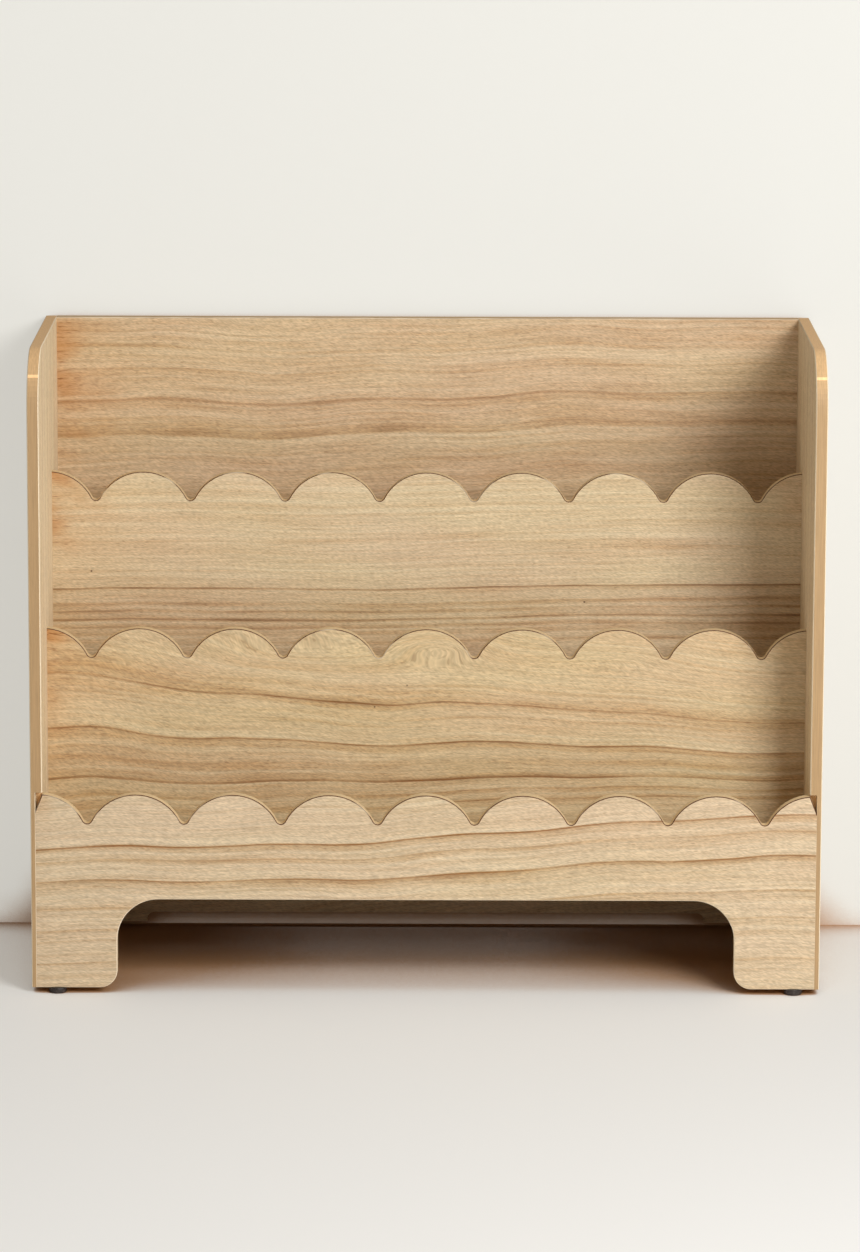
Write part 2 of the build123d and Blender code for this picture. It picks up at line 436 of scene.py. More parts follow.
    def _ring_place(self, tree: Tree, along: Socket, across: Socket) -> Socket:
        """The place across the grain once the lines' slope, fan and wander are undone."""
        figure = self.figure
        fanned = add_node(tree, "Math", {
            0: across, 1: figure.fan, 2: figure.slope - figure.fan * figure.pivot_mm,
        }, operation="MULTIPLY_ADD")
        rise = add_node(tree, "Math", {0: along, 1: fanned}, operation="MULTIPLY")
        levelled = add_node(tree, "Math", {0: across, 1: rise}, operation="SUBTRACT")
        for sway in figure.sways:
            turns = math.tau / sway.length_mm
            turn = add_node(tree, "Math", {
                0: along, 1: turns, 2: -turns * sway.crest_mm,
            }, operation="MULTIPLY_ADD")
            wave = add_node(tree, "Math", {0: turn}, operation="COSINE")
            levelled = add_node(tree, "Math", {
                0: wave, 1: -sway.rise_mm, 2: levelled,
            }, operation="MULTIPLY_ADD")
        for whorl in figure.whorls:
            levelled = self._swung(tree, along, across, levelled, whorl)
        stray = self._noise(tree, (along, across, across), self.stray)
        return add_node(tree, "Math", {
            0: stray, 1: figure.wander_mm * 2, 2: levelled,
        }, operation="MULTIPLY_ADD")

    def _swung(
        self, tree: Tree, along: Socket, across: Socket, levelled: Socket, whorl: Whorl,
    ) -> Socket:
        """The levelled place with one whorl's lift taken off."""
        squares = []
        for place, middle, reach in (
            (along, whorl.along_mm, whorl.length_mm),
            (across, whorl.across_mm, whorl.width_mm),
        ):
            share = add_node(tree, "Math", {
                0: place, 1: 1 / reach, 2: -middle / reach,
            }, operation="MULTIPLY_ADD")
            squares.append(add_node(tree, "Math", {0: share, 1: share}, operation="MULTIPLY"))
        distance = add_node(tree, "Math", {0: squares[0], 1: squares[1]}, operation="ADD")
        bell = add_node(tree, "Math", {0: math.exp(-1), 1: distance}, operation="POWER")
        return add_node(tree, "Math", {0: bell, 1: -whorl.lift_mm, 2: levelled}, operation="MULTIPLY_ADD")

    def _tone(
        self, tree: Tree, along: Socket, ring_place: Socket, low_mm: float, high_mm: float,
    ) -> Socket:
        """The depth of tone that the growth lines give, from 0 to 1."""
        share = add_node(tree, "MapRange", {
            "Value": ring_place, "From Min": low_mm + self.figure.wander_mm,
            "From Max": high_mm + self.figure.wander_mm,
        })
        ground = self.figure.ground
        tone: Socket | float = ground
        for first in range(0, len(self.figure.rings), self.rings_per_ramp):
            rings = self.figure.rings[first:first + self.rings_per_ramp]
            ramp = add_node(tree, "ValToRGB", {0: share}, self.ring_stops(rings, low_mm, high_mm))
            change = add_node(tree, "Math", {0: ramp, 1: ground}, operation="SUBTRACT")
            tone = add_node(tree, "Math", {0: tone, 1: change}, operation="ADD")
        fine = self._noise(tree, (along, ring_place, along), self.fine_rings)
        fine_change = add_node(tree, "MapRange", {
            "Value": fine, **NOISE_SPREAD, "To Min": -self.fine_ring_depth,
            "To Max": self.fine_ring_depth,
        })
        tone = add_node(tree, "Math", {0: tone, 1: fine_change}, operation="ADD")
        weight = self._noise(tree, (along, ring_place, along), self.fading)
        fading = add_node(tree, "MapRange", {
            "Value": weight, **NOISE_SPREAD, "To Min": 0.7, "To Max": 1.25,
        })
        return add_node(tree, "Math", {0: tone, 1: fading}, operation="MULTIPLY")

    def _fibres(
        self, tree: Tree, along: Socket, ring_place: Socket, through: Socket,
    ) -> tuple[Socket, Socket]:
        """Sockets of the fibres' light and dark, and of the pores' cover."""
        places = (along, ring_place, through)
        long_fibres = self._noise(tree, places, self.fibres)
        short_fibres = self._noise(tree, places, self.hairs)
        fibres = add_node(tree, "Mix", {
            "Factor": 0.55, "A": long_fibres, "B": short_fibres,
        }, data_type="FLOAT")
        pore_field = self._noise(tree, places, self.pore_field)
        pores = add_node(tree, "MapRange", {
            "Value": pore_field, "From Min": 0.61, "From Max": 0.73,
        }, **SMOOTH)
        return fibres, pores

    def _face_colour(
        self, tree: Tree, along: Socket, across: Socket, ring_place: Socket, tone: Socket,
        fibres: Socket, pores: Socket,
    ) -> Socket:
        """The colour of the sawn face: rings, clouds, fibres, flecks, pores and end stains."""
        wood = add_node(tree, "ValToRGB", {0: tone}, [
            (0.0, linear(self.pale)), (0.5, linear(self.tan)), (1.0, linear(self.late)),
        ])
        cloud = self._noise(tree, (along, across, across), self.clouds)
        warmth = add_node(tree, "MapRange", {
            "Value": cloud, "From Min": 0.35, "From Max": 0.65, "To Min": 0.496, "To Max": 0.504,
        })
        clouded = add_node(tree, "HueSaturation", {
            "Hue": warmth, "Saturation": 1.0, "Value": 1.0, "Color": wood,
        })
        light = add_node(tree, "MapRange", {
            "Value": fibres, "From Min": 0.28, "From Max": 0.72, "To Min": 0.8, "To Max": 1.17,
        })
        leaning = add_node(tree, "Math", {0: along, 1: 0.35, 2: ring_place}, operation="MULTIPLY_ADD")
        flecks = self._noise(tree, (along, leaning, across), self.flecks)
        shimmer = add_node(tree, "MapRange", {
            "Value": flecks, **NOISE_SPREAD, "To Min": 0.9, "To Max": 1.1,
        })
        level = add_node(tree, "Math", {0: light, 1: shimmer}, operation="MULTIPLY")
        lit = add_node(tree, "VectorMath", {0: clouded, "Scale": level}, operation="SCALE")
        pore_depth = add_node(tree, "Math", {0: tone, 1: 0.6, 2: 0.16}, operation="MULTIPLY_ADD")
        pore_cover = add_node(tree, "Math", {0: pores, 1: pore_depth}, operation="MULTIPLY")
        colour = add_node(tree, "Mix", {
            "Factor": pore_cover, "A": lit, "B": linear(self.pore),
        }, **COLOUR_MIX)
        for stain in self.stains:
            colour = self._stained(tree, along, across, fibres, colour, stain)
        return self._knotted(tree, colour)

    def _knotted(self, tree: Tree, colour: Socket) -> Socket:
        """The colour with scattered pin knots, small and dark."""
        here = add_node(tree, "TexCoord", out="Object")
        spread = add_node(tree, "VectorMath", {
            0: here, "Scale": 1 / (self.pin_knot_spacing_mm * MM),
        }, operation="SCALE")
        knots = add_node(tree, "TexVoronoi", {"Vector": spread, "Scale": 1.0})
        knot_share = self.pin_knot_mm / 2 / self.pin_knot_spacing_mm
        knot_cover = add_node(tree, "MapRange", {
            "Value": knots, "From Min": knot_share * 0.5, "From Max": knot_share * 1.3, "To Min": 0.85,
            "To Max": 0.0,
        }, **SMOOTH)
        return add_node(tree, "Mix", {
            "Factor": knot_cover, "A": colour, "B": linear(self.knot),
        }, **COLOUR_MIX)

    def _stained(
        self, tree: Tree, along: Socket, across: Socket, fibres: Socket, colour: Socket,
        stain: EndStain,
    ) -> Socket:
        """The colour with one end's soft orange tint and few brown streaks over it."""
        near_end = add_node(tree, "MapRange", {
            "Value": along, "From Min": stain.end_mm, "From Max": stain.end_mm + stain.reach_mm,
            "To Min": 1.0, "To Max": 0.0,
        }, **SMOOTH)
        rising = add_node(tree, "MapRange", {
            "Value": across, "From Min": stain.low_mm, "From Max": stain.high_mm, "To Min": 0.15,
            "To Max": 1.0,
        }, **SMOOTH)
        patches = self._noise(tree, (along, across, across), self.patches)
        patchy = add_node(tree, "MapRange", {
            "Value": patches, "From Min": 0.36, "From Max": 0.62, "To Min": 0.2, "To Max": 1.0,
        }, **SMOOTH)
        covered = add_node(tree, "Math", {0: near_end, 1: rising}, operation="MULTIPLY")
        tint_cover = add_node(tree, "Math", {0: covered, 1: patchy}, operation="MULTIPLY")
        tint = add_node(tree, "Math", {0: tint_cover, 1: stain.strength * 0.75}, operation="MULTIPLY")
        tinted = add_node(tree, "Mix", {"Factor": tint, "A": colour, "B": linear(stain.tint)}, **COLOUR_MIX)
        streaks = add_node(tree, "MapRange", {
            "Value": fibres, "From Min": 0.44, "From Max": 0.36, "To Min": 0.0, "To Max": 1.0,
        })
        short = add_node(tree, "Math", {0: tint_cover, 1: near_end}, operation="MULTIPLY")
        streaked = add_node(tree, "Math", {0: short, 1: streaks}, operation="MULTIPLY")
        cover = add_node(tree, "Math", {0: streaked, 1: stain.strength}, operation="MULTIPLY")
        return add_node(tree, "Mix", {
            "Factor": cover, "A": tinted, "B": linear(stain.streak),
        }, **COLOUR_MIX)

    def _edges(self, tree: Tree, along: Socket, through: Socket, across: Socket, face: Socket) -> Socket:
        """The face's colour, with the sawn edges and the arris told apart by their slant, and with painted
        light on edges that face up, on the rebate's shoulder, and as a highlight on the unscorched arris.
        """
        normal = add_node(tree, "NewGeometry", out="True Normal")
        slants = add_node(tree, "SeparateXYZ", {0: normal}).node.outputs
        facing = add_node(tree, "Math", {0: slants[self.figure.grain.value[2]]}, operation="ABSOLUTE")
        edge_lines = self._noise(tree, (along, through, across), self.edge_lines)
        edge_light = add_node(tree, "MapRange", {
            "Value": edge_lines, **NOISE_SPREAD, "To Min": 0.88, "To Max": 1.08,
        })
        # Painted light: edges that face up are made paler, as light from above falls on them.
        upward_painted_light = add_node(tree, "MapRange", {
            "Value": slants["Z"], "From Min": 0.2, "To Min": 1.0, "To Max": self.painted_top_light,
        })
        # Painted light: the rebate's shoulder is made paler, to lift the shade in its recess.
        at_shoulder = add_node(tree, "Math", {0: across, 1: self.shoulder_mm, 2: 1.0}, operation="COMPARE")
        painted_edge_light = add_node(tree, "Math", {
            0: at_shoulder, 1: self.shoulder_painted_light, 2: upward_painted_light,
        }, operation="MULTIPLY_ADD")
        edge_level = add_node(tree, "Math", {0: edge_light, 1: painted_edge_light}, operation="MULTIPLY")
        edge = add_node(tree, "VectorMath", {
            0: linear(self.edge)[:3], "Scale": edge_level,
        }, operation="SCALE")
        is_edge = add_node(tree, "Math", {0: facing, 1: 0.3}, operation="LESS_THAN")
        colour = add_node(tree, "Mix", {"Factor": is_edge, "A": face, "B": edge}, **COLOUR_MIX)
        slanted = add_node(tree, "Math", {0: facing, 1: 0.65, 2: 0.3}, operation="COMPARE")
        scorch = self._noise(tree, (along, through, across), self.scorching)
        scorched = add_node(tree, "MapRange", {
            "Value": scorch, "From Min": 0.3, "From Max": 0.65, "To Min": self.scorch * 0.4,
            "To Max": self.scorch * 1.6,
        })
        high = add_node(tree, "Math", {0: across, 1: self.scorch_from_mm}, operation="GREATER_THAN")
        burnt = add_node(tree, "Math", {0: high, 1: scorched}, operation="MULTIPLY")
        cover = add_node(tree, "Math", {0: slanted, 1: burnt}, operation="MULTIPLY")
        # Painted highlight: the arris takes a pale highlight colour wherever it isn't scorched.
        pale = add_node(tree, "Mix", {
            "Factor": slanted, "A": colour, "B": linear(self.arris_highlight),
        }, **COLOUR_MIX)
        return add_node(tree, "Mix", {"Factor": cover, "A": pale, "B": linear(self.arris)}, **COLOUR_MIX)


@dataclass(frozen=True)
class BeechRod:
    """Beech, turned to a dowel and left bare: short dark flecks along a pinkish rod."""

    name: str = "turned_beech"
    colour: str = "#cfa877"
    fleck: str = "#a87c4d"
    fleck_mm: float = 1.2

    def material(self) -> bpy.types.Material:
        """Build the finish."""
        material, tree = new_material(self.name)
        here = add_node(tree, "TexCoord", out="Object")
        noise = add_node(tree, "TexNoise", {
            "Vector": here, "Scale": 1 / (self.fleck_mm * MM), "Detail": 2.0,
        })
        colour = add_node(tree, "ValToRGB", {0: noise}, [
            (0.45, linear(self.colour)), (0.7, linear(self.fleck)),
        ])
        bump = add_node(tree, "Bump", {"Strength": 0.3, "Distance": 0.1 * MM, "Height": noise})
        shader = add_node(tree, "BsdfPrincipled", {"Base Color": colour, "Roughness": 0.6, "Normal": bump})
        add_node(tree, "OutputMaterial", {"Surface": shader})
        return material


@dataclass(frozen=True)
class DrawnSteel:
    """Bright drawn steel wire: fine draw marks, slightly dulled."""

    name: str = "drawn_steel"
    colour: str = "#9c9a95"
    dull: str = "#7d7a74"
    mark_mm: float = 0.5

    def material(self) -> bpy.types.Material:
        """Build the finish."""
        material, tree = new_material(self.name)
        here = add_node(tree, "TexCoord", out="Object")
        stretched = add_node(tree, "VectorMath", {0: here, 1: (1.0, 1.0, 0.1)}, operation="MULTIPLY")
        noise = add_node(tree, "TexNoise", {
            "Vector": stretched, "Scale": 1 / (self.mark_mm * MM), "Detail": 2.0,
        })
        colour = add_node(tree, "ValToRGB", {0: noise}, [
            (0.35, linear(self.dull)), (0.65, linear(self.colour)),
        ])
        roughness = add_node(tree, "MapRange", {"Value": noise, "To Min": 0.42, "To Max": 0.3})
        shader = add_node(tree, "BsdfPrincipled", {
            "Base Color": colour, "Metallic": 1.0, "Roughness": roughness,
        })
        add_node(tree, "OutputMaterial", {"Surface": shader})
        return material


@dataclass(frozen=True)
class MouldedPolyethylene:
    """Dark brown polyethylene, moulded: waxy, with a faint orange-peel skin and floor scuffs."""

    name: str = "moulded_polyethylene"
    colour: str = "#2c2422"
    scuff: str = "#4a403c"
    peel_mm: float = 0.7

    def material(self) -> bpy.types.Material:
        """Build the finish."""
        material, tree = new_material(self.name)
        here = add_node(tree, "TexCoord", out="Object")
        peel = add_node(tree, "TexNoise", {"Vector": here, "Scale": 1 / (self.peel_mm * MM), "Detail": 1.0})
        wear = add_node(tree, "TexNoise", {
            "Vector": here, "Scale": 1 / (4 * self.peel_mm * MM), "Detail": 3.0,
        })
        colour = add_node(tree, "ValToRGB", {0: wear}, [
            (0.5, linear(self.colour)), (0.75, linear(self.scuff)),
        ])
        bump = add_node(tree, "Bump", {"Strength": 0.2, "Distance": 0.05 * MM, "Height": peel})
        roughness = add_node(tree, "MapRange", {"Value": wear, "To Min": 0.38, "To Max": 0.55})
        shader = add_node(tree, "BsdfPrincipled", {
            "Base Color": colour, "Roughness": roughness, "Normal": bump, "IOR": 1.51,
        })
        add_node(tree, "OutputMaterial", {"Surface": shader})
        return material


FRONT_FINISH = SawnPaulownia(
    name="paulownia_front",
    figure=Figure(
        rings=(
            Ring(32.0, 0.44, 0.12, 0.24, 8.0),
            Ring(58.0, 0.34, 0.10, 0.20, 6.0),
            Ring(70.0, 0.46, 0.10, 0.24, 8.0),
            Ring(95.0, 0.50, 0.10, 0.26, 9.0),
            Ring(126.0, 1.0, 0.10, 0.52, 12.0),
            Ring(149.0, 0.62, 0.24, 0.34, 7.0),
            Ring(165.0, 1.0, 0.06, 0.56, 12.0),
        ),
        ground=0.10,
        slope=0.02,
        fan=0.0003,
        pivot_mm=60.0,
        wander_mm=4.0,
        seed=11.3,
        sways=(Sway(3.5, 610.0, 240.0), Sway(1.2, 170.0, 20.0)),
    ),
    pale="#d9c4a4",
    tan="#c3a47c",
    late="#946637",
    edge="#e4cba0",
    arris="#54280c",
    scorch=1.1,
    scorch_from_mm=165.0,
    stains=(EndStain(-395.0, 26.0, 165.0, 200.0, 0.4),),
)

MIDDLE_FINISH = SawnPaulownia(
    name="paulownia_middle",
    figure=Figure(
        rings=(
            Ring(178.0, 0.60, 0.40, 0.40, 6.0),
            Ring(190.0, 0.55, 0.22, 0.50, 5.0),
            Ring(203.0, 1.0, 0.46, 0.24, 8.0),
            Ring(220.0, 0.56, 0.42, 0.44, 8.0),
            Ring(241.0, 1.0, 0.14, 0.54, 22.0),
            Ring(282.0, 0.95, 0.46, 0.38, 20.0),
        ),
        ground=0.22,
        slope=-0.02,
        fan=-0.0008,
        pivot_mm=240.0,
        wander_mm=6.0,
        seed=4.7,
        sways=(Sway(2.5, 480.0, 130.0), Sway(1.5, 190.0, -140.0)),
        whorls=(
            Whorl(10.0, 340.0, 42.0, 16.0, 22.0),
            Whorl(-140.0, 333.0, 75.0, 16.0, -16.0),
            Whorl(200.0, 330.0, 60.0, 14.0, 9.0),
        ),
    ),
    pale="#dac6a0",
    tan="#c5a477",
    late="#865a30",
    edge="#e0c69a",
    arris="#54280c",
    scorch=1.1,
    stains=(EndStain(-392.0, 40.0, 325.0, 348.0, 1.0), EndStain(-392.0, 90.0, 250.0, 310.0, 0.5)),
)

UPPER_FINISH = SawnPaulownia(
    name="paulownia_upper",
    figure=Figure(
        rings=(
            Ring(330.0, 0.60, 0.42, 0.44, 4.0),
            Ring(339.0, 0.52, 0.40, 0.42, 4.0),
            Ring(346.0, 0.62, 0.44, 0.42, 4.0),
            Ring(354.0, 0.74, 0.40, 0.44, 4.0),
            Ring(363.0, 0.70, 0.36, 0.42, 4.0),
            Ring(371.0, 0.55, 0.34, 0.38, 4.0),
            Ring(386.0, 1.0, 0.20, 0.36, 8.0),
            Ring(428.0, 0.30, 0.24, 0.26, 14.0),
        ),
        ground=0.20,
        slope=0.012,
        wander_mm=3.5,
        seed=7.9,
        sways=(Sway(1.5, 520.0, 200.0),),
    ),
    pale="#dbc8a6",
    tan="#c5a67e",
    late="#7c5632",
    edge="#e0c69a",
    arris="#54280c",
    scorch=1.1,
    stains=(
        EndStain(-392.0, 44.0, 400.0, 480.0, 1.0),
        EndStain(-392.0, 95.0, 400.0, 470.0, 0.45),
        EndStain(392.0, -60.0, 430.0, 505.0, 0.45),
    ),
)

BACK_FINISH = SawnPaulownia(
    name="paulownia_back",
    figure=Figure(
        rings=(
            Ring(60.0, 0.55, 0.25, 0.40),
            Ring(120.0, 0.60, 0.22, 0.42),
            Ring(190.0, 0.50, 0.25, 0.38),
            Ring(270.0, 0.62, 0.22, 0.44),
            Ring(350.0, 0.55, 0.22, 0.42),
            Ring(430.0, 0.60, 0.24, 0.44),
            Ring(505.0, 0.48, 0.24, 0.32),
            Ring(535.0, 0.95, 0.56, 0.20, 20.0),
            Ring(572.0, 0.78, 0.30, 0.52, 12.0),
            Ring(601.0, 0.82, 0.26, 0.32, 8.0),
            Ring(625.0, 0.50, 0.30, 0.22, 8.0),
        ),
        ground=0.28,
        slope=0.018,
        fan=-0.0002,
        pivot_mm=570.0,
        wander_mm=6.0,
        seed=2.2,
        sways=(Sway(3.0, 560.0, 180.0), Sway(1.5, 210.0, -60.0)),
    ),
    pale="#dbc5a3",
    tan="#c3a27a",
    late="#8f673f",
    edge="#cfae80",
    stains=(EndStain(-388.0, 100.0, 500.0, 540.0, 0.45), EndStain(-388.0, 36.0, 480.0, 530.0, 0.7)),
)

FLOOR_FINISH = SawnPaulownia(
    name="paulownia_floor",
    figure=Figure(
        grain=Grain.LEVEL_FLAT,
        rings=(
            Ring(-120.0, 0.60, 0.20, 0.40),
            Ring(-85.0, 0.55, 0.20, 0.36),
            Ring(-20.0, 0.60, 0.20, 0.40),
            Ring(18.0, 0.55, 0.20, 0.36),
            Ring(75.0, 0.60, 0.20, 0.40),
            Ring(110.0, 0.55, 0.20, 0.36),
        ),
        ground=0.2,
        slope=0.01,
        wander_mm=4.0,
        seed=15.1,
    ),
    pale="#d6b98c",
    tan="#c29e6d",
    late="#996e42",
    edge="#cfae80",
)

SIDE_FINISH = SawnPaulownia(
    name="paulownia_side",
    figure=Figure(
        grain=Grain.STANDING,
        rings=(
            Ring(-128.0, 0.56, 0.20, 0.36, 8.0),
            Ring(-100.0, 0.62, 0.20, 0.40),
            Ring(-62.0, 0.55, 0.20, 0.36),
            Ring(-20.0, 0.66, 0.20, 0.40),
            Ring(35.0, 0.58, 0.20, 0.36),
            Ring(85.0, 0.66, 0.20, 0.40),
            Ring(125.0, 0.55, 0.20, 0.36),
        ),
        ground=0.18,
        slope=0.01,
        wander_mm=4.0,
        seed=19.6,
    ),
    pale="#eedcbc",
    tan="#dcc19a",
    late="#ab8458",
    edge="#b8976e",
    arris="#b08a5c",
    scorch=0.2,
    # Painted light: the side's edges that face up are painted paler.
    painted_top_light=1.75,
    # Painted light: the rebate's shoulder is painted paler, to lift the shade in its recess.
    shoulder_mm=-138.0,
    shoulder_painted_light=1.1,
)


@dataclass
class Board:
    """One board: the frame's shape, softened along its edges and dressed in its own wood.

    Attributes:
        node: the frame's node that the board stands for.
        finish: its wood.
        slot: the record's material slot; not used.
        softening_mm: radius of the sanding along its sharp edges.
        weld_mm: distance under which the shape's corners are one.
        flat_degrees: angle under which neighbouring facets are one flat face.
        smooth_degrees: angle under which neighbouring faces shade as one.
        sharp_degrees: angle over which an edge is sanded.
    """

    node: str
    finish: SawnPaulownia
    slot: str
    softening_mm: float = 0.4
    weld_mm: float = 0.002
    flat_degrees: float = 0.5
    smooth_degrees: float = 30.0
    sharp_degrees: float = 40.0

    def build(self) -> bpy.types.Object:
        """Shape and dress the board, and put it in the place of its node.

        Returns:
            The finished board.
        """
        piece = self._softened_copy()
        piece.data.materials.clear()
        piece.data.materials.append(self._wood())
        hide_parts(self.node)
        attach(piece, BODY)
        return piece

    def _softened_copy(self) -> bpy.types.Object:
        """A copy of the node's shape with its sharp edges rounded."""
        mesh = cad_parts[self.node].data.copy()
        piece = bpy.data.objects.new(f"{self.node}_board", mesh)
        bpy.context.scene.collection.objects.link(piece)
        select_only(piece)
        bpy.ops.object.mode_set(mode="EDIT")
        bpy.ops.mesh.select_all(action="SELECT")
        bpy.ops.mesh.remove_doubles(threshold=self.weld_mm * MM)
        bpy.ops.mesh.customdata_custom_splitnormals_clear()
        bpy.ops.mesh.dissolve_limited(angle_limit=math.radians(self.flat_degrees))
        bpy.ops.object.mode_set(mode="OBJECT")
        bpy.ops.object.shade_smooth_by_angle(angle=math.radians(self.smooth_degrees))
        rounding = piece.modifiers.new("sanding", "BEVEL")
        rounding.width = self.softening_mm * MM
        rounding.segments = 2
        rounding.limit_method = "ANGLE"
        rounding.angle_limit = math.radians(self.sharp_degrees)
        rounding.harden_normals = True
        rounding.use_clamp_overlap = True
        bpy.ops.object.modifier_apply(modifier=rounding.name)
        return piece

    def _wood(self) -> bpy.types.Material:
        """The board's wood, with its rings spread over the node's size across the grain."""
        existing = bpy.data.materials.get(self.finish.name)
        if existing:
            return existing
        grain = self.finish.figure.grain
        low, high = CAD_BOX if grain is Grain.LEVEL_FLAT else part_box(self.node)
        across = "XYZ".index(grain.value[1])
        return self.finish.material(low[across] / MM, high[across] / MM)


@dataclass
class Glide:
    """A nail-on glide: a low disc with a rounded foot, under one corner.

    Attributes:
        node: the frame's node that it stands for.
        foot_round_mm: radius of its lower rim.
        shoulder_round_mm: radius of its upper rim.
        sole_inset_mm: width of the ring that it stands on.
        sole_hollow_mm: depth of the hollow inside that ring.
        sides: number of flats round the disc.
        touch_mm: distance within which a corner counts as at a height.
        smooth_degrees: angle under which neighbouring faces shade as one.
    """

    node: str
    foot_round_mm: float = 1.6
    shoulder_round_mm: float = 0.5
    sole_inset_mm: float = 3.2
    sole_hollow_mm: float = 0.4
    sides: int = 48
    touch_mm: float = 0.01
    smooth_degrees: float = 35.0

    def build(self, finish: bpy.types.Material) -> bpy.types.Object:
        """Model the glide and put it in the place of its node.

        Args:
            finish: the moulded plastic.

        Returns:
            The finished glide.
        """
        low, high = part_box(self.node)
        centre = (low + high) / 2
        bpy.ops.object.select_all(action="DESELECT")
        bpy.ops.mesh.primitive_cylinder_add(
            vertices=self.sides,
            radius=(high.x - low.x) / 2,
            depth=high.z - low.z,
            location=centre,
        )
        piece = bpy.context.active_object
        piece.name = f"{self.node}_disc"
        select_only(piece)
        bpy.ops.object.transform_apply(location=True, rotation=True, scale=True)
        self._round_rim(piece, low.z, self.foot_round_mm)
        self._round_rim(piece, high.z, self.shoulder_round_mm)
        self._hollow_sole(piece, low.z)
        bpy.ops.object.shade_smooth_by_angle(angle=math.radians(self.smooth_degrees))
        piece.data.materials.append(finish)
        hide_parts(self.node)
        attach(piece, BODY)
        return piece

    def _round_rim(self, piece: bpy.types.Object, height: float, radius_mm: float) -> None:
        """Round the disc's rim at one height."""
        bpy.ops.object.mode_set(mode="OBJECT")
        for edge in piece.data.edges:
            ends = [piece.data.vertices[index].co for index in edge.vertices]
            edge.select = all(abs(end.z - height) < self.touch_mm * MM for end in ends)
        for polygon in piece.data.polygons:
            polygon.select = False
        bpy.ops.object.mode_set(mode="EDIT")
        bpy.ops.mesh.select_mode(type="EDGE")
        bpy.ops.mesh.bevel(offset=radius_mm * MM, segments=4)
        bpy.ops.mesh.select_all(action="DESELECT")
        bpy.ops.object.mode_set(mode="OBJECT")

    def _hollow_sole(self, piece: bpy.types.Object, height: float) -> None:
        """Press a shallow hollow into the sole, inside the ring that the glide stands on."""
        for polygon in piece.data.polygons:
            at_sole = abs(polygon.center.z - height) < self.touch_mm * MM
            polygon.select = at_sole and polygon.normal.z < -0.99
        bpy.ops.object.mode_set(mode="EDIT")
        bpy.ops.mesh.select_mode(type="FACE")
        bpy.ops.mesh.inset(thickness=self.sole_inset_mm * MM)
        bpy.ops.mesh.inset(thickness=self.sole_hollow_mm * MM, depth=-self.sole_hollow_mm * MM)
        bpy.ops.mesh.select_all(action="DESELECT")
        bpy.ops.object.mode_set(mode="OBJECT")


@dataclass
class Carcase:
    """The bookshelf's boards: two sides, the back, three scalloped panels and three floors."""

    boards: tuple[Board, ...] = (
        Board("side_left", SIDE_FINISH, "side_wood"),
        Board("side_right", SIDE_FINISH, "side_wood"),
        Board("back_panel", BACK_FINISH, "back_wood"),
        Board("upper_panel", UPPER_FINISH, "upper_wood"),
        Board("middle_panel", MIDDLE_FINISH, "middle_wood"),
        Board("front_panel", FRONT_FINISH, "front_wood"),
        Board("lower_floor", FLOOR_FINISH, "floor_wood"),
        Board("middle_floor", FLOOR_FINISH, "floor_wood"),
        Board("upper_floor", FLOOR_FINISH, "floor_wood"),
    )

    def build(self) -> None:
        """Build every board and report it."""
        for board in self.boards:
            piece = board.build()
            LOG.info("board %s with %d faces", piece.name, len(piece.data.polygons))


@dataclass
class Fittings:
    """What joins the boards and carries them: dowels, nails and the four glides."""

    glide_nodes: tuple[str, ...] = (
        "front_left_glide",
        "front_right_glide",
        "rear_left_glide",
        "rear_right_glide",
    )

    def build(self) -> None:
        """Dress the dowels and nails, and build the glides."""
        self._dress("dowels", BeechRod().material())
        self._dress("glide_nails", DrawnSteel().material())
        plastic = MouldedPolyethylene().material()
        for node in self.glide_nodes:
            piece = Glide(node).build(plastic)
            LOG.info("glide %s with %d faces", piece.name, len(piece.data.polygons))

    def _dress(self, node: str, finish: bpy.types.Material) -> None:
        """Give a frame node its finish, with its shape as it is."""
        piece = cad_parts[node]
        piece.data.materials.clear()
        piece.data.materials.append(finish)
        LOG.info("fittings %s dressed in %s", node, finish.name)


